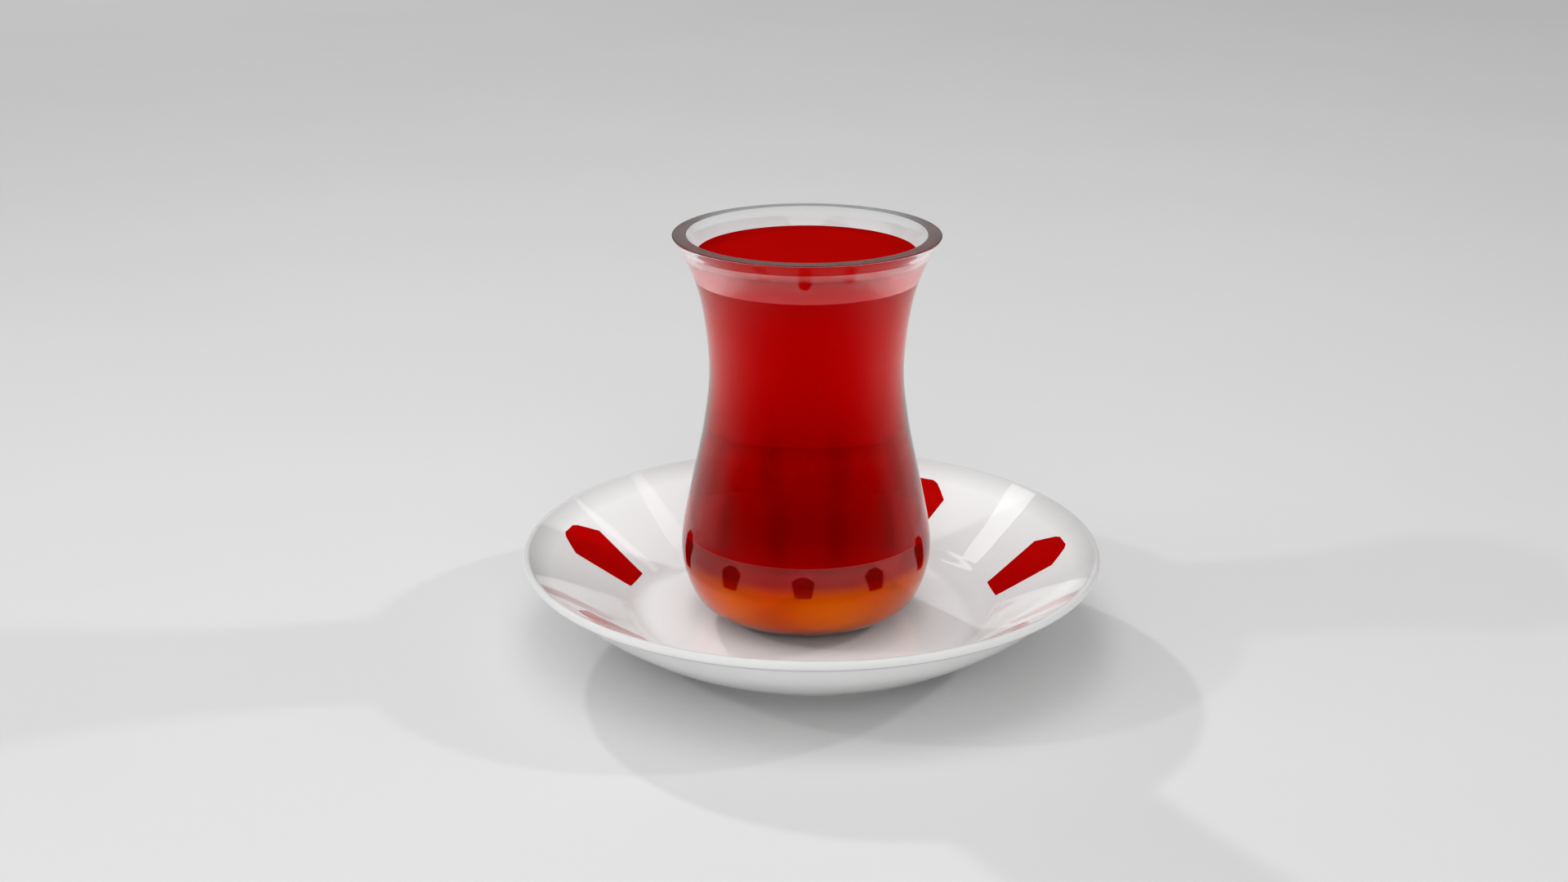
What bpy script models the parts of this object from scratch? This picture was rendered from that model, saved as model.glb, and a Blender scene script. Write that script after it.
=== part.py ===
"""A tulip-shaped tea glass, filled with tea, on its glazed saucer.

Metres, +Z up. The origin is the middle of the saucer's underside, where it stands. The camera of the
photograph looks along +Y, so the glass stands a little to the left of the saucer's middle.
"""
import math

import bpy

# The saucer.
SAUCER_RADIUS = 0.0601
SAUCER_HEIGHT = 0.0194
RIM_LIP = 0.0009          # half the thickness of the rounded edge
WELL_RADIUS = 0.0365      # the flat floor that the glass stands on
WELL_DEPTH = 0.0149       # from the edge down to the floor
WELL_BEND_INSIDE = 0.0060     # the floor starts to bend this far inside the well's radius
WELL_BEND_OUTSIDE = 0.0040    # and is straight again this far outside it
WELL_BEND_RISE = 0.0004       # height gained at the well's radius
WELL_BEND_END = 0.0026        # height gained where the wall is straight
SAUCER_WALL = 0.0029
UNDER_EDGE_INSET = 0.0015     # underside, just below the rounded edge
UNDER_EDGE_DROP = 0.0020
UNDER_MIDDLE_INSET = 0.0100   # underside, half way down the wall
UNDER_MIDDLE_DROP = 0.0060
FOOT_RING_RADIUS = 0.0330
FOOT_RING_WIDTH = 0.0030
FOOT_RING_HEIGHT = 0.0016
FOOT_RING_FLARE = 0.0012
FOOT_RING_TAPER = 0.0008

# The glass. Heights are measured from its own foot.
GLASS_OFFSET_X = -0.0011
GLASS_HEIGHT = 0.0811
GLASS_WALL = 0.0026
RIM_WIDTH = 0.0029        # the flat cut top of the wall
GLASS_RIM_RADIUS = 0.0270
GLASS_WAIST_RADIUS = 0.01985
GLASS_BELLY_RADIUS = 0.0259
GLASS_FOOT_RADIUS = 0.0140
TULIP = (                 # radius and height of the outside, from the rim down to the foot
    (GLASS_RIM_RADIUS, GLASS_HEIGHT),
    (0.0234, 0.0740),
    (0.0211, 0.0660),
    (GLASS_WAIST_RADIUS, 0.0535),
    (0.0210, 0.0420),
    (0.0235, 0.0300),
    (0.0255, 0.0200),
    (GLASS_BELLY_RADIUS, 0.0135),
    (0.0243, 0.0072),
    (0.0212, 0.0030),
    (GLASS_FOOT_RADIUS, 0.0),
)
FOOT_HOLLOW_RADIUS = 0.0100
FOOT_HOLLOW_FLAT = 0.0060
FOOT_HOLLOW_DEPTH = 0.0006
BASE_THICKNESS = 0.0034   # glass under the tea
BOWL_CORNER = 0.0015      # the inner wall meets the floor with this small chamfer

# The tea.
TEA_BELOW_RIM = 0.0037
TOUCH_GAP = 0.0003        # between pieces that touch
AXIS_CLEAR = 0.0005       # outline points nearer to the axis than this are left out

SEGMENTS = 60             # faces around a turned piece
TULIP_STEPS = 30
WELL_STEPS = 6
UNDER_STEPS = 9
LIP_STEPS = 6
LIP_END_ANGLE = -60.0
MERGE_DISTANCE = 0.00001

SAUCER_COLOUR = (0.80, 0.79, 0.79, 1.0)
GLASS_COLOUR = (0.92, 0.94, 0.94, 1.0)
TEA_COLOUR = (0.48, 0.01, 0.005, 1.0)


def clear_scene():
    for obj in list(bpy.data.objects):
        bpy.data.objects.remove(obj, do_unlink=True)


def material(name, colour, roughness):
    """A plain non-metal finish."""
    mat = bpy.data.materials.new(name)
    mat.use_nodes = True
    shader = mat.node_tree.nodes["Principled BSDF"]
    shader.inputs["Base Color"].default_value = colour
    shader.inputs["Roughness"].default_value = roughness
    shader.inputs["Metallic"].default_value = 0.0
    return mat


def smooth_curve(points, steps):
    """Points evenly spread in parameter on a Catmull-Rom curve through the given (radius, height) points."""
    before = tuple(2 * a - b for a, b in zip(points[0], points[1]))
    after = tuple(2 * a - b for a, b in zip(points[-1], points[-2]))
    padded = [before] + list(points) + [after]
    spans = len(points) - 1
    curve = []
    for step in range(steps + 1):
        place = step / steps * spans
        span = min(int(place), spans - 1)
        t = place - span
        p0, p1, p2, p3 = padded[span:span + 4]
        curve.append(tuple(
            0.5 * (2 * b + (c - a) * t + (2 * a - 5 * b + 4 * c - d) * t * t + (3 * b - a - 3 * c + d) * t ** 3)
            for a, b, c, d in zip(p0, p1, p2, p3)))
    return curve


def arc(centre, radius, start, end, steps):
    """Points of an arc in the (radius, height) plane, its angles in degrees."""
    points = []
    for step in range(steps + 1):
        angle = math.radians(start + (end - start) * step / steps)
        points.append((centre[0] + radius * math.cos(angle), centre[1] + radius * math.sin(angle)))
    return points


def offset_inwards(curve, distance):
    """The curve moved sideways towards the axis, for a wall of even thickness."""
    moved = []
    for index, (radius, height) in enumerate(curve):
        before = curve[max(index - 1, 0)]
        after = curve[min(index + 1, len(curve) - 1)]
        along = (after[0] - before[0], after[1] - before[1])
        length = math.hypot(*along)
        moved.append((radius + distance * along[1] / length, height - distance * along[0] / length))
    return moved


def radius_at(curve, height):
    """The radius at a height on a curve that runs downwards."""
    for (r0, z0), (r1, z1) in zip(curve, curve[1:]):
        if z1 <= height <= z0:
            return r0 + (r1 - r0) * (z0 - height) / (z0 - z1)
    return curve[-1][0]


def turned(name, outline, mat, location):
    """A closed solid of revolution. The outline starts and ends on the axis, top to bottom outside."""
    mesh = bpy.data.meshes.new(name)
    verts = [(radius, 0.0, height) for radius, height in outline]
    edges = [(index, index + 1) for index in range(len(verts) - 1)]
    mesh.from_pydata(verts, edges, [])
    obj = bpy.data.objects.new(name, mesh)
    bpy.context.collection.objects.link(obj)
    obj.location = location
    screw = obj.modifiers.new("Turn", "SCREW")
    screw.axis = "Z"
    screw.angle = math.tau
    screw.steps = SEGMENTS
    screw.render_steps = SEGMENTS
    screw.use_merge_vertices = True
    screw.merge_threshold = MERGE_DISTANCE
    screw.use_smooth_shade = True
    mesh.materials.append(mat)
    return obj


def glass_outer():
    """The tulip outline from the rim down to the foot."""
    return smooth_curve(TULIP, TULIP_STEPS)


def glass_inner():
    """The wall's inner face from the rim down, then the flat floor to the axis."""
    wall = [point for point in offset_inwards(glass_outer(), GLASS_WALL)
            if BASE_THICKNESS < point[1] < GLASS_HEIGHT - AXIS_CLEAR]
    rim = (GLASS_RIM_RADIUS - RIM_WIDTH, GLASS_HEIGHT)
    floor = [(wall[-1][0] - BOWL_CORNER, BASE_THICKNESS), (0.0, BASE_THICKNESS)]
    return [rim] + wall + floor


def glass_outline():
    """Inside from the axis up to the rim, over the flat rim, down outside and back under the foot."""
    inner = list(reversed(glass_inner()))
    foot = [(FOOT_HOLLOW_RADIUS, 0.0), (FOOT_HOLLOW_FLAT, FOOT_HOLLOW_DEPTH), (0.0, FOOT_HOLLOW_DEPTH)]
    return inner + glass_outer() + foot


def tea_outline():
    """The tea fills the inside, a hair clear of the wall, up to its level."""
    level = GLASS_HEIGHT - TEA_BELOW_RIM
    inner = offset_inwards(glass_inner(), TOUCH_GAP)
    side = [(radius, height) for radius, height in inner if height < level and radius > AXIS_CLEAR]
    edge = (radius_at(inner, level), level)
    return [(0.0, level), edge] + side + [(0.0, BASE_THICKNESS + TOUCH_GAP)]


def saucer_outline():
    """The dish from its middle out to the rounded edge, and back underneath over the foot ring."""
    floor = SAUCER_HEIGHT - WELL_DEPTH
    lip_centre = (SAUCER_RADIUS - RIM_LIP, SAUCER_HEIGHT - RIM_LIP)
    slope = math.atan2(WELL_DEPTH, SAUCER_RADIUS - WELL_RADIUS)
    bend = smooth_curve([(WELL_RADIUS - WELL_BEND_INSIDE, floor),
                         (WELL_RADIUS, floor + WELL_BEND_RISE),
                         (WELL_RADIUS + WELL_BEND_OUTSIDE, floor + WELL_BEND_END)], WELL_STEPS)
    wall_top = (lip_centre[0] - RIM_LIP * math.sin(slope), lip_centre[1] + RIM_LIP * math.cos(slope))
    lip = arc(lip_centre, RIM_LIP, 90 + math.degrees(slope), LIP_END_ANGLE, LIP_STEPS)
    drop = SAUCER_WALL / math.cos(slope)
    under = smooth_curve([(SAUCER_RADIUS - UNDER_EDGE_INSET, SAUCER_HEIGHT - UNDER_EDGE_DROP),
                          (SAUCER_RADIUS - UNDER_MIDDLE_INSET, SAUCER_HEIGHT - UNDER_MIDDLE_DROP - drop),
                          (WELL_RADIUS + WELL_BEND_OUTSIDE, floor + WELL_BEND_END - drop),
                          (FOOT_RING_RADIUS + FOOT_RING_FLARE, FOOT_RING_HEIGHT)], UNDER_STEPS)
    ring_inner = FOOT_RING_RADIUS - FOOT_RING_WIDTH
    ring = [(FOOT_RING_RADIUS, 0.0), (ring_inner, 0.0), (ring_inner - FOOT_RING_TAPER, FOOT_RING_HEIGHT),
            (0.0, FOOT_RING_HEIGHT)]
    return [(0.0, floor)] + bend + [wall_top] + lip[1:] + under[1:] + ring


def build():
    clear_scene()
    saucer_finish = material("white glaze", SAUCER_COLOUR, 0.12)
    glass_finish = material("clear glass", GLASS_COLOUR, 0.02)
    tea_finish = material("black tea", TEA_COLOUR, 0.05)
    glass_floor = SAUCER_HEIGHT - WELL_DEPTH + TOUCH_GAP
    stand = (GLASS_OFFSET_X, 0.0, glass_floor)
    turned("saucer", saucer_outline(), saucer_finish, (0.0, 0.0, 0.0))
    turned("glass", glass_outline(), glass_finish, stand)
    turned("tea", tea_outline(), tea_finish, stand)


build()
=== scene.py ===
"""Looks of the tulip tea glass on its saucer: turned glass, tea and glazed dish with painted marks.

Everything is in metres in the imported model's frame: +Z up, +Y away from the camera.
"""
import math

import bmesh
import bpy
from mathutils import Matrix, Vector


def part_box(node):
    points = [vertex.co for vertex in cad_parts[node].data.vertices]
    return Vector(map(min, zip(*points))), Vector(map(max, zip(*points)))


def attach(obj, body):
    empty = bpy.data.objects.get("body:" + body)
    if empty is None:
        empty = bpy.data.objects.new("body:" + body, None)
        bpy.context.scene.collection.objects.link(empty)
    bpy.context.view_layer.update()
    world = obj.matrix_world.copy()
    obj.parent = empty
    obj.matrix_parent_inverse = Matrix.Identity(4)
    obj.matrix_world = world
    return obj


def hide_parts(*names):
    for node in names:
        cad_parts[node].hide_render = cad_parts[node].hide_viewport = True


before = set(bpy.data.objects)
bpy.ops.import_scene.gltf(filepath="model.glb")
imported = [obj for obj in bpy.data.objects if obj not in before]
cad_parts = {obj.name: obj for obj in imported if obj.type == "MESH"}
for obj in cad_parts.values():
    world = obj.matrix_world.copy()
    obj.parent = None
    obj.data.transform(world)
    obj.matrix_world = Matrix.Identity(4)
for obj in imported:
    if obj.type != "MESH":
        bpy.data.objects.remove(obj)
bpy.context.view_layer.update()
SAUCER_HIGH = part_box("saucer")[1]
GLASS_LOW, GLASS_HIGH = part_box("glass")
TEA_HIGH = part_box("tea")[1]

# Saucer.
SAUCER_AXIS = (0.0, 0.0)
SAUCER_RADIUS = SAUCER_HIGH[0]
SAUCER_HEIGHT = SAUCER_HIGH[2]
SAUCER_WALL = 0.0029
RIM_LIP = 0.0009              # half the thickness of the rounded edge
LIP_CENTRE = (SAUCER_RADIUS - RIM_LIP, SAUCER_HEIGHT - RIM_LIP)
LIP_END_ANGLE = -60.0
WELL_RADIUS = 0.0365          # the flat floor that the glass stands on
WELL_DEPTH = 0.0149
WELL_FLOOR = SAUCER_HEIGHT - WELL_DEPTH
WALL_SLOPE = math.atan2(WELL_DEPTH, SAUCER_RADIUS - WELL_RADIUS)
WELL_BEND_INSIDE = 0.0060
WELL_BEND_OUTSIDE = 0.0040
WELL_BEND_RISE = 0.0004
WELL_BEND_END = 0.0026
UNDER_EDGE_INSET = 0.0015
UNDER_EDGE_DROP = 0.0020
UNDER_MIDDLE_INSET = 0.0100
UNDER_MIDDLE_DROP = 0.0060
FOOT_RING_RADIUS = 0.0330
FOOT_RING_WIDTH = 0.0030
FOOT_RING_HEIGHT = 0.0016
FOOT_RING_FLARE = 0.0012
FOOT_RING_TAPER = 0.0008
EDGE_SHADE_DEPTH = 0.0030     # painted shade darkens the rounded edge over this height

# Painted marks, a traditional ring of tapered tongues.
MARK_COUNT = 7
MARK_FIRST = math.radians(9.1)
MARK_LIFT = 0.00004           # the paint stands this far above the dish and reaches as far into it
MARK_OUTER = 0.0546
MARK_NECK = 0.0523
MARK_SHOULDER = 0.0503
MARK_INNER = 0.0392
MARK_HALF_OUTER = 0.0034
MARK_HALF_NECK = 0.0051
MARK_HALF_SHOULDER = 0.0069
MARK_HALF_INNER = 0.0037
MARK_TIP = 0.0006             # the outer end narrows over this length
MARK_TIP_SHARE = 0.62         # to this share of its width

# Glass, heights from its own foot.
GLASS_AXIS = ((GLASS_LOW[0] + GLASS_HIGH[0]) / 2, 0.0)
GLASS_FLOOR = GLASS_LOW[2]
GLASS_HEIGHT = GLASS_HIGH[2] - GLASS_LOW[2]
GLASS_WALL = 0.0026
RIM_WIDTH = 0.0029
RIM_EDGE = 0.0002             # the small round of the cut rim's edges
RIM_INSIDE_ANGLE = 170.0
RIM_OUTSIDE_ANGLE = -20.0
FOOT_HOLLOW_RADIUS = 0.0100
FOOT_HOLLOW_FLAT = 0.0060
FOOT_HOLLOW_DEPTH = 0.0006
BASE_THICKNESS = 0.0034
BOWL_CORNER = 0.0015
TULIP = (                     # radius and height of the outside, from the rim down to the foot
    (0.0270, GLASS_HEIGHT),
    (0.0234, 0.0740),
    (0.0211, 0.0660),
    (0.01985, 0.0535),
    (0.0210, 0.0420),
    (0.0235, 0.0300),
    (0.0255, 0.0200),
    (0.0259, 0.0135),
    (0.0243, 0.0072),
    (0.0212, 0.0030),
    (0.0140, 0.0),
)

# Tea, and the two thin forms in the glass wall that carry its painted light.
TEA_LEVEL = TEA_HIGH[2] - GLASS_FLOOR
INTO_WALL = 0.00012           # how far the tea reaches into the glass
TEA_SHADE_STREAKS = 12              # painted shade: darker streaks around the foot of the tea
NECK_LOW = 0.0720             # the tea line on the wall
NECK_TOP = 0.0793             # the dry ring fades out here, above the tea's level
NECK_DEPTH = 0.0008
NECK_SKIN = 0.00018
GLOW_TOP = 0.0192             # where the light at the tea's foot ends
AMBER_TOP = 0.0152            # amber below, a paler band above
AMBER_FADE = 0.12             # share of the glow's height over which amber turns into the band
GLOW_DEPTH = 0.0006
GLOW_SKIN = 0.0002
GLOW_SIDE_DROP = 0.02         # tells the glow's outer faces from its inner ones, also under the foot

# Fineness of the meshes.
AROUND = 192                  # faces around a turned piece
FINE = 8                      # points between two given points of the tulip outline
WELL_STEPS = 24
WALL_SHARES = (0.01, 0.1, 0.3, 0.5, 0.7, 0.9, 0.99)   # rings of points that keep the dish's wall straight
LIP_STEPS = 18
UNDER_STEPS = 36
RIM_INSIDE_STEPS = 4
RIM_OUTSIDE_STEPS = 5
MARK_ROWS = 44
MARK_COLUMNS = 8
SHARP_ANGLE = math.radians(40.0)
ON_AXIS = 0.0000001
AXIS_CLEAR = 0.0004           # outline points nearer to the axis than this are left out
LEVEL_CLEAR = 0.0001          # nearer to a level than this counts as on it
FACES_UP = 0.9

# Finishes.
WHITE = (1.0, 1.0, 1.0, 1.0)
BLACK = (0.0, 0.0, 0.0, 1.0)
GLASS_IOR = 1.5
TEA_IOR = 1.15                # set low, for tea that is seen through the glass
DRY_WALL_IOR = 0.72           # set near that of air behind glass
TEA_CLEAR_COLOUR = (0.98667, 0.5, 0.0, 1.0)
TEA_STRENGTH = 1200.0

# Camera and light.
CAMERA_PLACE = (-0.0057, -0.4248, 0.1876)
CAMERA_DOWN = math.radians(18.92)
CAMERA_LENS = 50.0
SENSOR_WIDTH = 36.0
NEAREST_SEEN = 0.01
WORLD_STRENGTH = 0.28
LAMP_AIM = Vector((0.0, 0.0, 0.03))
STEEP_LAMP = 70.0             # a lamp above this elevation is turned by its other side
FLOOR_HALF = 6.0


def smooth_curve(points, steps):
    """Points on a Catmull-Rom curve through the given (radius, height) points."""
    before = tuple(2 * a - b for a, b in zip(points[0], points[1]))
    after = tuple(2 * a - b for a, b in zip(points[-1], points[-2]))
    padded = [before] + list(points) + [after]
    spans = len(points) - 1
    curve = []
    for step in range(steps + 1):
        place = step / steps * spans
        span = min(int(place), spans - 1)
        t = place - span
        point = []
        for a, b, c, d in zip(*padded[span:span + 4]):
            bend = (2 * a - 5 * b + 4 * c - d) * t * t + (3 * b - a - 3 * c + d) * t ** 3
            point.append(0.5 * (2 * b + (c - a) * t + bend))
        curve.append(tuple(point))
    return curve


def arc(centre, radius, start, end, steps):
    """Points of an arc in the (radius, height) plane, its angles in degrees."""
    points = []
    for step in range(steps + 1):
        angle = math.radians(start + (end - start) * step / steps)
        points.append((centre[0] + radius * math.cos(angle), centre[1] + radius * math.sin(angle)))
    return points


def offset_inwards(curve, distance):
    """A downward curve moved towards the axis, for a wall of even thickness."""
    moved = []
    for index, (radius, height) in enumerate(curve):
        before = curve[max(index - 1, 0)]
        after = curve[min(index + 1, len(curve) - 1)]
        along = (after[0] - before[0], after[1] - before[1])
        length = math.hypot(*along)
        moved.append((radius + distance * along[1] / length, height - distance * along[0] / length))
    return moved


def value_at(curve, place):
    """The second value of a curve of pairs, where the first one has grown to a given place."""
    for (a0, b0), (a1, b1) in zip(curve, curve[1:]):
        if a0 <= place <= a1:
            return b0 + (b1 - b0) * (place - a0) / (a1 - a0)
    return curve[-1][1]


def radius_at(curve, height):
    """The radius at a height on a curve that runs downwards."""
    for (r0, z0), (r1, z1) in zip(curve, curve[1:]):
        if z1 <= height <= z0:
            return r0 + (r1 - r0) * (z0 - height) / (z0 - z1)
    return curve[-1][0]


def glass_outer():
    """The tulip outline from the rim down to the foot."""
    return smooth_curve(TULIP, (len(TULIP) - 1) * FINE)


def glass_inner():
    """The wall's inner face from just under the rim down, then the flat floor to the axis."""
    wall = [point for point in offset_inwards(glass_outer(), GLASS_WALL)
            if BASE_THICKNESS < point[1] < GLASS_HEIGHT - 3 * RIM_EDGE]
    return wall + [(wall[-1][0] - BOWL_CORNER, BASE_THICKNESS), (0.0, BASE_THICKNESS)]


def glass_outline():
    """Inside from the axis up, over the cut rim, down outside and back under the foot."""
    inner = list(reversed(glass_inner()))
    rim_outer = TULIP[0][0]
    rim_inner = rim_outer - RIM_WIDTH
    edge_height = GLASS_HEIGHT - RIM_EDGE
    rim = arc((rim_inner + RIM_EDGE, edge_height), RIM_EDGE, RIM_INSIDE_ANGLE, 90, RIM_INSIDE_STEPS)
    rim += arc((rim_outer - RIM_EDGE, edge_height), RIM_EDGE, 90, RIM_OUTSIDE_ANGLE, RIM_OUTSIDE_STEPS)
    outer = [point for point in glass_outer() if point[1] < GLASS_HEIGHT - 2 * RIM_EDGE]
    foot = [(FOOT_HOLLOW_RADIUS, 0.0), (FOOT_HOLLOW_FLAT, FOOT_HOLLOW_DEPTH), (0.0, FOOT_HOLLOW_DEPTH)]
    return inner + rim + outer + foot


def tea_outline():
    """The tea up to its level, reaching just into the wall, so that no air shows between them."""
    inner = offset_inwards(glass_inner(), -INTO_WALL)
    edge = (radius_at(inner, TEA_LEVEL), TEA_LEVEL)
    side = [(radius, height) for radius, height in inner
            if height < TEA_LEVEL - LEVEL_CLEAR and radius > AXIS_CLEAR]
    return [(0.0, TEA_LEVEL), edge] + side + [(0.0, BASE_THICKNESS - INTO_WALL)]


def inside_wall(depth, low, high):
    """The part between two heights of the tulip outline, moved into the wall."""
    return [point for point in offset_inwards(glass_outer(), depth) if low < point[1] < high]


def glow_outline():
    """A thin bowl just inside the outer face of the glass, from the belly down to the foot."""
    face = inside_wall(GLOW_DEPTH, 0.0, GLOW_TOP)
    low = face[-1][1] + GLOW_SKIN
    back = inside_wall(GLOW_DEPTH + GLOW_SKIN, low, GLOW_TOP)
    return [(0.0, low)] + list(reversed(back)) + face + [(0.0, face[-1][1])]


def neck_outline():
    """A thin ring inside the wall, between the tea line and the rim, that tapers to both edges."""
    face = inside_wall(NECK_DEPTH, NECK_LOW, NECK_TOP)
    back = inside_wall(NECK_DEPTH + NECK_SKIN, NECK_LOW, NECK_TOP)
    return face + list(reversed(back[1:-1]))


def dish_inside():
    """The dish's upper face from the axis out to where the rounded edge starts."""
    bend = smooth_curve([(WELL_RADIUS - WELL_BEND_INSIDE, WELL_FLOOR),
                         (WELL_RADIUS, WELL_FLOOR + WELL_BEND_RISE),
                         (WELL_RADIUS + WELL_BEND_OUTSIDE, WELL_FLOOR + WELL_BEND_END)], WELL_STEPS)
    foot = bend[-1]
    top = (LIP_CENTRE[0] - RIM_LIP * math.sin(WALL_SLOPE), LIP_CENTRE[1] + RIM_LIP * math.cos(WALL_SLOPE))
    wall = [(foot[0] + (top[0] - foot[0]) * share, foot[1] + (top[1] - foot[1]) * share)
            for share in WALL_SHARES]
    return [(0.0, WELL_FLOOR)] + bend + wall + [top]


def saucer_outline():
    """The dish from its middle out over the rounded edge, and back underneath over the foot ring."""
    lip = arc(LIP_CENTRE, RIM_LIP, 90 + math.degrees(WALL_SLOPE), LIP_END_ANGLE, LIP_STEPS)
    drop = SAUCER_WALL / math.cos(WALL_SLOPE)
    under = smooth_curve([(SAUCER_RADIUS - UNDER_EDGE_INSET, SAUCER_HEIGHT - UNDER_EDGE_DROP),
                          (SAUCER_RADIUS - UNDER_MIDDLE_INSET, SAUCER_HEIGHT - UNDER_MIDDLE_DROP - drop),
                          (WELL_RADIUS + WELL_BEND_OUTSIDE, WELL_FLOOR + WELL_BEND_END - drop),
                          (FOOT_RING_RADIUS + FOOT_RING_FLARE, FOOT_RING_HEIGHT)], UNDER_STEPS)
    ring_inner = FOOT_RING_RADIUS - FOOT_RING_WIDTH
    ring = [(FOOT_RING_RADIUS, 0.0), (ring_inner, 0.0), (ring_inner - FOOT_RING_TAPER, FOOT_RING_HEIGHT),
            (0.0, FOOT_RING_HEIGHT)]
    return dish_inside() + lip[1:] + under[1:] + ring


def ring_of_points(mesh, radius, height, centre):
    """Points around an axis, or the single point on it."""
    if radius < ON_AXIS:
        return [mesh.verts.new((centre[0], centre[1], height))]
    points = []
    for index in range(AROUND):
        angle = math.tau * index / AROUND
        across = centre[0] + radius * math.cos(angle)
        away = centre[1] + radius * math.sin(angle)
        points.append(mesh.verts.new((across, away, height)))
    return points


def band_of_faces(mesh, upper, lower):
    """Faces all around between two rings, either of which may be a single point."""
    for index in range(AROUND):
        after = (index + 1) % AROUND
        if len(upper) == 1:
            mesh.faces.new((upper[0], lower[index], lower[after]))
        elif len(lower) == 1:
            mesh.faces.new((upper[after], upper[index], lower[0]))
        else:
            mesh.faces.new((upper[after], upper[index], lower[index], lower[after]))


def finished(mesh, name, mat):
    """The object of a mesh, smooth but for its sharp edges."""
    data = bpy.data.meshes.new(name)
    mesh.to_mesh(data)
    mesh.free()
    data.shade_smooth()
    data.set_sharp_from_angle(angle=SHARP_ANGLE)
    data.materials.append(mat)
    obj = bpy.data.objects.new(name, data)
    bpy.context.collection.objects.link(obj)
    return obj


def turned(name, outline, centre, floor, mat, meets_axis=True):
    """A closed turned piece. Its outline runs down on the outside, from axis to axis or once around."""
    mesh = bmesh.new()
    rings = [ring_of_points(mesh, radius, floor + height, centre) for radius, height in outline]
    below = rings[1:] if meets_axis else rings[1:] + rings[:1]
    for upper, lower in zip(rings, below):
        band_of_faces(mesh, upper, lower)
    return finished(mesh, name, mat)


def mark_half_width(radius):
    """Half the width of a mark at a distance from the saucer's axis."""
    return value_at(((MARK_INNER, MARK_HALF_INNER), (MARK_SHOULDER, MARK_HALF_SHOULDER),
                     (MARK_NECK, MARK_HALF_NECK), (MARK_OUTER - MARK_TIP, MARK_HALF_OUTER),
                     (MARK_OUTER, MARK_HALF_OUTER * MARK_TIP_SHARE)), radius)


def mark_skin(mesh, dish, rows, angle, lift):
    """Points of a mark's upper or lower skin, row by row outwards."""
    out = Vector((math.cos(angle), math.sin(angle), 0.0))
    side = Vector((-math.sin(angle), math.cos(angle), 0.0))
    skin = []
    for row in rows:
        half = mark_half_width(row)
        line = []
        for column in range(MARK_COLUMNS + 1):
            across = half * (2 * column / MARK_COLUMNS - 1)
            place = out * row + side * across
            place.z = value_at(dish, math.hypot(place.x, place.y)) + lift
            line.append(mesh.verts.new(place))
        skin.append(line)
    return skin


def mark_faces(mesh, top, bottom):
    """Closes the two skins of a mark into one body."""
    last = MARK_COLUMNS
    for row in range(len(top) - 1):
        near_top, far_top = top[row], top[row + 1]
        near_bottom, far_bottom = bottom[row], bottom[row + 1]
        for column in range(last):
            after = column + 1
            mesh.faces.new((near_top[column], far_top[column], far_top[after], near_top[after]))
            mesh.faces.new((near_bottom[after], far_bottom[after], far_bottom[column], near_bottom[column]))
        mesh.faces.new((near_bottom[0], far_bottom[0], far_top[0], near_top[0]))
        mesh.faces.new((near_top[last], far_top[last], far_bottom[last], near_bottom[last]))
    for column in range(last):
        after = column + 1
        mesh.faces.new((bottom[0][after], bottom[0][column], top[0][column], top[0][after]))
        mesh.faces.new((bottom[-1][column], bottom[-1][after], top[-1][after], top[-1][column]))


def marks(mat):
    """The painted tongues: thin closed patches that follow the dish's wall."""
    mesh = bmesh.new()
    dish = dish_inside()
    rows = [MARK_INNER + (MARK_OUTER - MARK_INNER) * step / MARK_ROWS for step in range(MARK_ROWS + 1)]
    rows = sorted(set(rows + [MARK_SHOULDER, MARK_NECK, MARK_OUTER - MARK_TIP]))
    for number in range(MARK_COUNT):
        angle = MARK_FIRST + math.tau * number / MARK_COUNT
        top = mark_skin(mesh, dish, rows, angle, MARK_LIFT)
        bottom = mark_skin(mesh, dish, rows, angle, -MARK_LIFT)
        mark_faces(mesh, top, bottom)
    bmesh.ops.recalc_face_normals(mesh, faces=mesh.faces)
    return finished(mesh, "saucer_marks", mat)


def principled(name):
    """A new material, its node tree and its shader."""
    mat = bpy.data.materials.new(name)
    mat.use_nodes = True
    return mat, mat.node_tree, mat.node_tree.nodes["Principled BSDF"]


def grey(value):
    """A neutral colour, also for a ramp that feeds a plain value."""
    return (value, value, value)


def shade(tree, source, stops):
    """A colour from a value, through (position, colour) stops."""
    node = tree.nodes.new("ShaderNodeValToRGB")
    while len(node.color_ramp.elements) < len(stops):
        node.color_ramp.elements.new(0.5)
    for element, (where, colour) in zip(node.color_ramp.elements, stops):
        element.position = where
        element.color = colour + (1.0,)
    tree.links.new(source, node.inputs["Fac"])
    return node.outputs["Color"]


def spread(tree, source, stops, target):
    """Feeds a socket with a value's colour."""
    tree.links.new(shade(tree, source, stops), target)


def multiplied(tree, first, second):
    """One colour times another."""
    mix = tree.nodes.new("ShaderNodeMix")
    mix.data_type = "RGBA"
    mix.blend_type = "MULTIPLY"
    mix.inputs["Factor"].default_value = 1.0
    tree.links.new(first, mix.inputs["A"])
    tree.links.new(second, mix.inputs["B"])
    return mix.outputs["Result"]


def noise(tree, scale, detail):
    """Noise over the object's own coordinates, in features per metre."""
    place = tree.nodes.new("ShaderNodeTexCoord")
    texture = tree.nodes.new("ShaderNodeTexNoise")
    texture.inputs["Scale"].default_value = scale
    texture.inputs["Detail"].default_value = detail
    texture.inputs["Roughness"].default_value = 0.5
    tree.links.new(place.outputs["Object"], texture.inputs["Vector"])
    return texture.outputs["Fac"]


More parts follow.
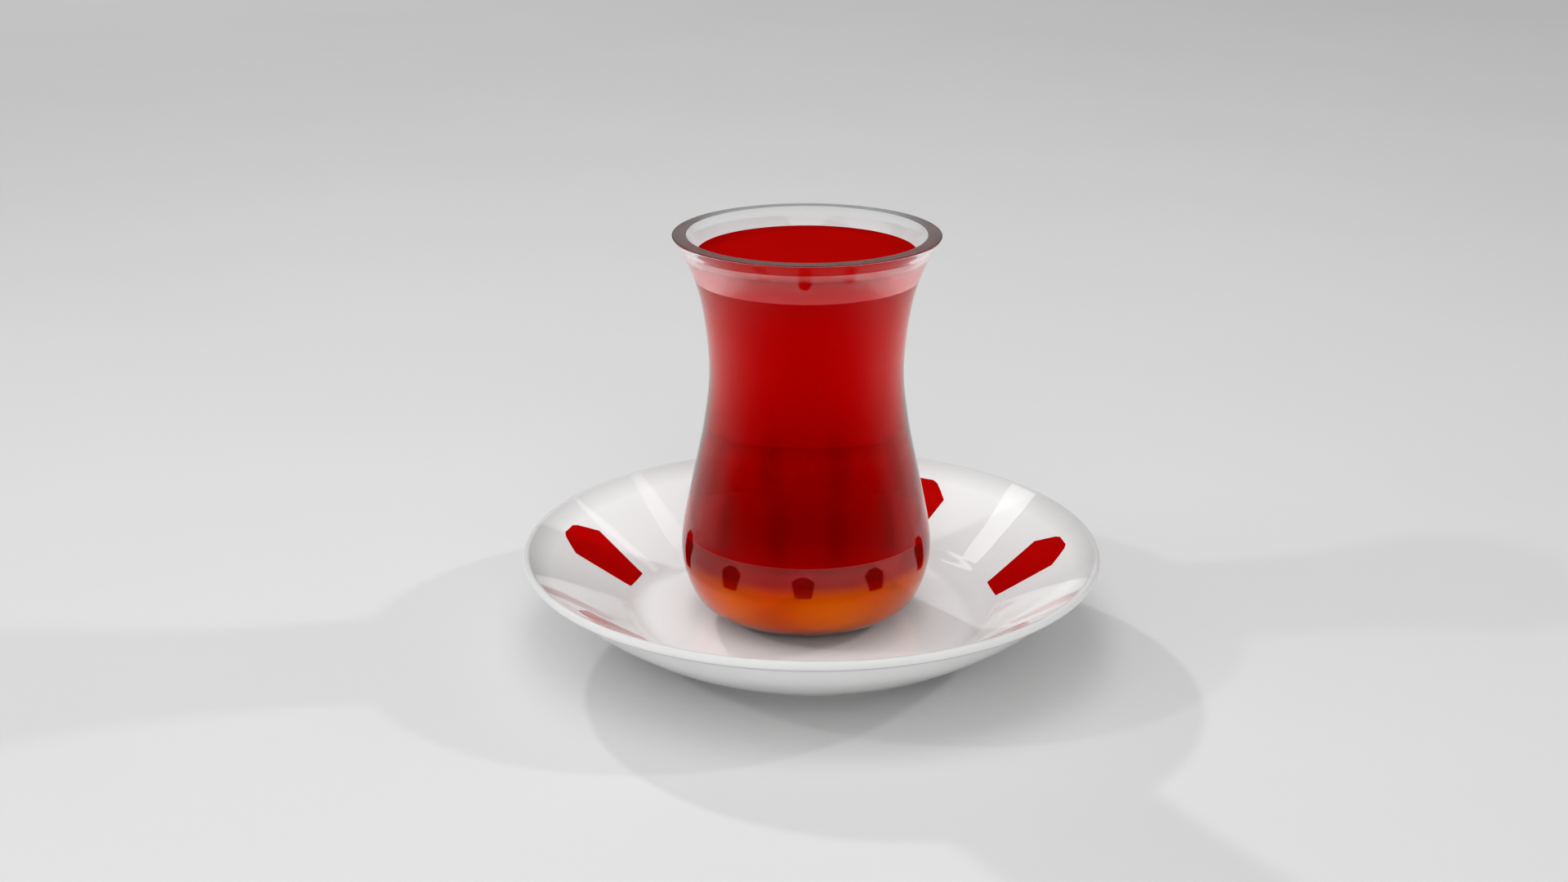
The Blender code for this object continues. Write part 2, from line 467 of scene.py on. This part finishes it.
def mapped(tree, source, low, high):
    """A value carried to 0 at one end and 1 at the other."""
    share = tree.nodes.new("ShaderNodeMapRange")
    share.inputs["From Min"].default_value = low
    share.inputs["From Max"].default_value = high
    tree.links.new(source, share.inputs["Value"])
    return share.outputs["Result"]


def height_share(tree, low, high):
    """0 at one height above the table and 1 at another."""
    place = tree.nodes.new("ShaderNodeTexCoord")
    parts = tree.nodes.new("ShaderNodeSeparateXYZ")
    tree.links.new(place.outputs["Object"], parts.inputs[0])
    return mapped(tree, parts.outputs["Z"], low, high)


def math_node(tree, operation, *sources):
    """A calculation on one or two values, each a socket or a number."""
    node = tree.nodes.new("ShaderNodeMath")
    node.operation = operation
    for index, source in enumerate(sources):
        if isinstance(source, bpy.types.NodeSocket):
            tree.links.new(source, node.inputs[index])
        else:
            node.inputs[index].default_value = source
    return node.outputs[0]


def around_waves(tree, count):
    """A number of waves around the glass's axis, from -1 to 1."""
    place = tree.nodes.new("ShaderNodeTexCoord")
    parts = tree.nodes.new("ShaderNodeSeparateXYZ")
    tree.links.new(place.outputs["Object"], parts.inputs[0])
    across = math_node(tree, "SUBTRACT", parts.outputs["X"], GLASS_AXIS[0])
    away = math_node(tree, "SUBTRACT", parts.outputs["Y"], GLASS_AXIS[1])
    angle = math_node(tree, "ARCTAN2", across, away)
    return math_node(tree, "COSINE", math_node(tree, "MULTIPLY", angle, count))


def unevenness(tree, shader, scale, height):
    """Low waves on a surface, their height in metres."""
    bump = tree.nodes.new("ShaderNodeBump")
    bump.inputs["Strength"].default_value = 1.0
    bump.inputs["Distance"].default_value = height
    tree.links.new(noise(tree, scale, detail=2.0), bump.inputs["Height"])
    tree.links.new(bump.outputs["Normal"], shader.inputs["Normal"])


def white_glaze():
    """Slightly warm porcelain under a clear glaze that lies a little unevenly, with painted shade darkening
    its rounded edge.
    """
    mat, tree, shader = principled("white_glaze")
    clouds = shade(tree, noise(tree, scale=70.0, detail=3.0),
                   ((0.30, (0.895, 0.89, 0.89)), (0.70, (0.925, 0.92, 0.915))))
    # painted shade: the colour darkens towards the top of the rounded edge
    edge = shade(tree, height_share(tree, SAUCER_HEIGHT - EDGE_SHADE_DEPTH, SAUCER_HEIGHT),
                 ((0.0, grey(1.0)), (0.55, grey(0.86)), (1.0, grey(0.72))))
    tree.links.new(multiplied(tree, clouds, edge), shader.inputs["Base Color"])
    spread(tree, noise(tree, scale=160.0, detail=2.0), ((0.35, grey(0.008)), (0.75, grey(0.02))),
           shader.inputs["Roughness"])
    unevenness(tree, shader, scale=55.0, height=0.00003)
    return mat


def red_paint():
    """Brushed red under the same glaze, a touch thinner in places."""
    mat, tree, shader = principled("red_paint")
    spread(tree, noise(tree, scale=220.0, detail=4.0),
           ((0.30, (0.47, 0.001, 0.001)), (0.70, (0.53, 0.0015, 0.0012))), shader.inputs["Base Color"])
    shader.inputs["Roughness"].default_value = 0.03
    unevenness(tree, shader, scale=55.0, height=0.00004)
    return mat


def clear_glass():
    """Pressed glass, clear and smooth but for a faint unevenness."""
    mat, tree, shader = principled("clear_glass")
    shader.inputs["Base Color"].default_value = WHITE
    shader.inputs["IOR"].default_value = GLASS_IOR
    shader.inputs["Transmission Weight"].default_value = 1.0
    shader.inputs["Specular Tint"].default_value = BLACK
    spread(tree, noise(tree, scale=120.0, detail=2.0), ((0.40, grey(0.0)), (0.80, grey(0.006))),
           shader.inputs["Roughness"])
    unevenness(tree, shader, scale=40.0, height=0.00001)
    return mat


def ground_rim():
    """The flat top of the rim, ground and only half polished."""
    mat, tree, shader = principled("ground_rim")
    spread(tree, noise(tree, scale=900.0, detail=4.0),
           ((0.30, (0.30, 0.31, 0.31)), (0.70, (0.36, 0.37, 0.37))), shader.inputs["Base Color"])
    shader.inputs["Roughness"].default_value = 0.6
    shader.inputs["IOR"].default_value = GLASS_IOR
    shader.inputs["Transmission Weight"].default_value = 0.82
    return mat


def neck_glass():
    """The wall above the tea line, where the tea doesn't wet the glass, so that it mirrors like a bubble,
    with a faint painted red glow from the tea line up to the tea's level.
    """
    mat, tree, shader = principled("neck_glass")
    shader.inputs["Base Color"].default_value = (1.0, 0.95, 0.95, 1.0)
    shader.inputs["IOR"].default_value = DRY_WALL_IOR
    slant = tree.nodes.new("ShaderNodeLayerWeight")
    spread(tree, slant.outputs["Facing"], ((0.20, grey(1.0)), (0.35, grey(0.90)), (0.45, grey(0.76))),
           shader.inputs["Transmission Weight"])
    spread(tree, noise(tree, scale=300.0, detail=3.0), ((0.35, grey(0.02)), (0.75, grey(0.06))),
           shader.inputs["Roughness"])
    # painted light: a faint red glow from the tea line up to the tea's level
    spread(tree, height_share(tree, GLASS_FLOOR + NECK_LOW, GLASS_FLOOR + TEA_LEVEL),
           ((0.0, (0.045, 0.0, 0.0)), (0.75, (0.045, 0.0, 0.0)), (1.0, grey(0.0))),
           shader.inputs["Emission Color"])
    shader.inputs["Emission Strength"].default_value = 1.0
    return mat


def black_tea():
    """Strong black tea, with painted shade: darker lower down, and soft dark streaks painted in for the dark
    shapes that show there.
    """
    mat, tree, shader = principled("black_tea")
    # painted shade: the tea's colour darkens lower down and in streaks around its foot
    share = height_share(tree, GLASS_FLOOR, GLASS_FLOOR + TEA_LEVEL)
    depth = shade(tree, share,
                  ((0.15, grey(0.64)), (0.40, grey(0.72)), (0.58, grey(0.92)), (0.75, grey(1.0))))
    reach = shade(tree, share,
                  ((0.20, grey(0.0)), (0.27, grey(1.0)), (0.36, grey(1.0)), (0.46, grey(0.0))))
    streak_shade = mapped(tree, around_waves(tree, TEA_SHADE_STREAKS), 0.0, -1.0)
    darker = shade(tree, multiplied(tree, reach, streak_shade), ((0.0, grey(1.0)), (1.0, grey(0.66))))
    tree.links.new(multiplied(tree, depth, darker), shader.inputs["Base Color"])
    shader.inputs["Roughness"].default_value = 0.0
    shader.inputs["IOR"].default_value = TEA_IOR
    shader.inputs["Transmission Weight"].default_value = 1.0
    shader.inputs["Specular Tint"].default_value = BLACK
    volume = tree.nodes.new("ShaderNodeVolumeAbsorption")
    volume.inputs["Color"].default_value = TEA_CLEAR_COLOUR
    volume.inputs["Density"].default_value = TEA_STRENGTH
    tree.links.new(volume.outputs["Volume"], tree.nodes["Material Output"].inputs["Volume"])
    return mat


def tea_surface():
    """The tea's level, an almost even red without gloss."""
    mat, tree, shader = principled("tea_surface")
    spread(tree, noise(tree, scale=60.0, detail=2.0),
           ((0.30, (0.295, 0.0008, 0.0004)), (0.70, (0.32, 0.0012, 0.0006))), shader.inputs["Base Color"])
    shader.inputs["Roughness"].default_value = 0.5
    shader.inputs["Specular IOR Level"].default_value = 0.0
    return mat


def amber_glow():
    """Painted reflection: amber light that the rounded foot of the tea throws back, on a thin mirror-like
    sheet, with a paler band at its upper edge.
    """
    mat, tree, shader = principled("amber_glow")
    share = height_share(tree, GLASS_FLOOR, GLASS_FLOOR + GLOW_TOP)
    amber = AMBER_TOP / GLOW_TOP
    bands = shade(tree, share, ((0.0, (0.05, 0.008, 0.003)), (0.08, (0.30, 0.04, 0.001)),
                                (0.21, (0.72, 0.12, 0.0)), (amber - AMBER_FADE, (0.66, 0.075, 0.0)),
                                (amber, (0.38, 0.032, 0.034)), (1.0, (0.35, 0.048, 0.052))))
    clouds = shade(tree, noise(tree, scale=45.0, detail=1.0),
                   ((0.35, (0.88, 0.55, 0.5)), (0.65, (1.08, 1.25, 1.0))))
    tree.links.new(multiplied(tree, bands, clouds), shader.inputs["Base Color"])
    spread(tree, share, ((0.0, grey(0.9)), (amber, grey(0.88)), (1.0, grey(0.8))), shader.inputs["Metallic"])
    shader.inputs["Roughness"].default_value = 0.03
    shader.inputs["IOR"].default_value = TEA_IOR
    shader.inputs["Specular Tint"].default_value = BLACK
    return mat


def glow_back():
    """Painted light: a deep red glow for what the tea's foot shows from inside, darkest in a ring just below
    half its height.
    """
    mat, tree, shader = principled("glow_back")
    # painted light: the emitted red, darkest in a ring just below half the glow's height
    spread(tree, height_share(tree, GLASS_FLOOR, GLASS_FLOOR + GLOW_TOP),
           ((0.0, (0.80, 0.001, 0.001)), (0.22, (0.70, 0.001, 0.001)), (0.40, (0.58, 0.001, 0.001)),
            (0.60, (0.60, 0.001, 0.001)), (1.0, (0.66, 0.001, 0.001))), shader.inputs["Emission Color"])
    shader.inputs["Emission Strength"].default_value = 1.0
    shader.inputs["Base Color"].default_value = (0.02, 0.0, 0.0, 1.0)
    shader.inputs["Specular IOR Level"].default_value = 0.0
    return mat


def pale_floor():
    """A smooth pale table top with a faint cloudiness."""
    mat, tree, shader = principled("pale_floor")
    spread(tree, noise(tree, scale=9.0, detail=4.0), ((0.30, grey(0.615)), (0.70, grey(0.627))),
           shader.inputs["Base Color"])
    shader.inputs["Roughness"].default_value = 0.9
    shader.inputs["Specular IOR Level"].default_value = 0.1
    return mat


def finish_top(obj, top, mat):
    """Gives the faces that look up at a height a finish of their own."""
    obj.data.materials.append(mat)
    for face in obj.data.polygons:
        at_top = face.normal.z > FACES_UP and face.center.z > top - LEVEL_CLEAR
        face.material_index = 1 if at_top else 0


def finish_inside(obj, mat):
    """Gives the faces that look in towards the glass's axis a finish of their own."""
    obj.data.materials.append(mat)
    for face in obj.data.polygons:
        outwards = Vector((face.center.x - GLASS_AXIS[0], face.center.y, -GLOW_SIDE_DROP))
        face.material_index = 0 if outwards.dot(face.normal) > 0.0 else 1


def build_pieces():
    """The looks of each CAD node, with the thin forms that go with them."""
    saucer = turned("saucer_dish", saucer_outline(), SAUCER_AXIS, 0.0, white_glaze())
    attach(saucer, "root")
    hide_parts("saucer")
    paint = marks(red_paint())
    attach(paint, "root")
    glass = turned("tulip_glass", glass_outline(), GLASS_AXIS, GLASS_FLOOR, clear_glass())
    finish_top(glass, GLASS_HIGH[2], ground_rim())
    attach(glass, "root")
    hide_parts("glass")
    tea = turned("tea_fill", tea_outline(), GLASS_AXIS, GLASS_FLOOR, black_tea())
    finish_top(tea, GLASS_FLOOR + TEA_LEVEL, tea_surface())
    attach(tea, "root")
    neck = turned("neck_ring", neck_outline(), GLASS_AXIS, GLASS_FLOOR, neck_glass(), meets_axis=False)
    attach(neck, "root")
    glow = turned("tea_glow", glow_outline(), GLASS_AXIS, GLASS_FLOOR, amber_glow())
    finish_inside(glow, glow_back())
    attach(glow, "root")
    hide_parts("tea")


def add_floor():
    """A wide plain table top."""
    data = bpy.data.meshes.new("floor")
    corners = [(-FLOOR_HALF, -FLOOR_HALF, 0.0), (FLOOR_HALF, -FLOOR_HALF, 0.0),
               (FLOOR_HALF, FLOOR_HALF, 0.0), (-FLOOR_HALF, FLOOR_HALF, 0.0)]
    data.from_pydata(corners, [], [(0, 1, 2, 3)])
    data.materials.append(pale_floor())
    floor = bpy.data.objects.new("floor", data)
    bpy.context.collection.objects.link(floor)


def add_lamp(name, azimuth, elevation, distance, size, power, mirrored=True, seen_through=True):
    """A rectangular lamp that looks at the glass, placed by its direction from the saucer."""
    data = bpy.data.lights.new(name, "AREA")
    data.shape = "RECTANGLE"
    data.size, data.size_y = size
    data.energy = power
    lamp = bpy.data.objects.new(name, data)
    turn = math.radians(azimuth)
    rise = math.radians(elevation)
    lamp.location = (distance * math.cos(rise) * math.cos(turn), distance * math.cos(rise) * math.sin(turn),
                     distance * math.sin(rise))
    aim = LAMP_AIM - lamp.location
    lamp.rotation_euler = aim.to_track_quat("-Z", "X" if elevation > STEEP_LAMP else "Y").to_euler()
    lamp.visible_glossy = mirrored
    lamp.visible_transmission = seen_through
    bpy.context.collection.objects.link(lamp)


def add_soft_lamps():
    """Wide lamps that light without showing as reflections."""
    add_lamp("overhead", 200.0, 80.0, distance=0.51, size=(1.6, 0.3), power=0.65, mirrored=False)
    add_lamp("overhead_left", 190.0, 60.0, distance=0.7, size=(0.5, 0.8), power=1.2, mirrored=False)
    add_lamp("overhead_front", 270.0, 72.0, distance=0.45, size=(1.8, 0.2), power=1.45, mirrored=False)
    add_lamp("front_fill", 270.0, 18.0, distance=1.6, size=(1.6, 1.0), power=9.0, mirrored=False)


def add_keys():
    """Small far lamps that make the lobes of the shadow."""
    for name, azimuth, elevation, power in (("key_back_left", 118.0, 29.0, 26.0),
                                            ("key_left", 190.0, 31.0, 12.0),
                                            ("key_right", 10.0, 29.0, 18.0)):
        add_lamp(name, azimuth, elevation, distance=3.0, size=(0.12, 0.12), power=power,
                 mirrored=False, seen_through=False)


def add_softboxes():
    """Far panels that show as bright strips on the dish's wall."""
    add_lamp("strip_back_left", 129.6, 42.0, distance=3.0, size=(0.21, 0.68), power=1.1)
    add_lamp("strip_back_right", 38.3, 52.3, distance=3.0, size=(0.24, 0.34), power=0.35)
    add_lamp("patch_back_right", 52.5, 37.2, distance=3.0, size=(0.22, 0.14), power=0.12)


def add_world():
    """An even white surround, which the glaze doesn't mirror."""
    world = bpy.data.worlds.new("studio")
    bpy.context.scene.world = world
    world.use_nodes = True
    background = world.node_tree.nodes["Background"]
    background.inputs["Color"].default_value = WHITE
    background.inputs["Strength"].default_value = WORLD_STRENGTH
    world.cycles_visibility.glossy = False


def add_camera():
    """The camera of the photograph."""
    data = bpy.data.cameras.new("camera")
    data.lens = CAMERA_LENS
    data.sensor_width = SENSOR_WIDTH
    data.clip_start = NEAREST_SEEN
    camera = bpy.data.objects.new("camera", data)
    camera.location = CAMERA_PLACE
    camera.rotation_euler = (math.pi / 2 - CAMERA_DOWN, 0.0, 0.0)
    bpy.context.collection.objects.link(camera)
    bpy.context.scene.camera = camera


def set_bounces():
    """Enough bounces for light to pass the glass, the tea and the glass again."""
    cycles = bpy.context.scene.cycles
    cycles.max_bounces = 24
    cycles.transmission_bounces = 20
    cycles.glossy_bounces = 8
    cycles.transparent_max_bounces = 16


build_pieces()
add_floor()
add_soft_lamps()
add_keys()
add_softboxes()
add_world()
add_camera()
set_bounces()
bpy.context.scene.view_settings.view_transform = "Standard"
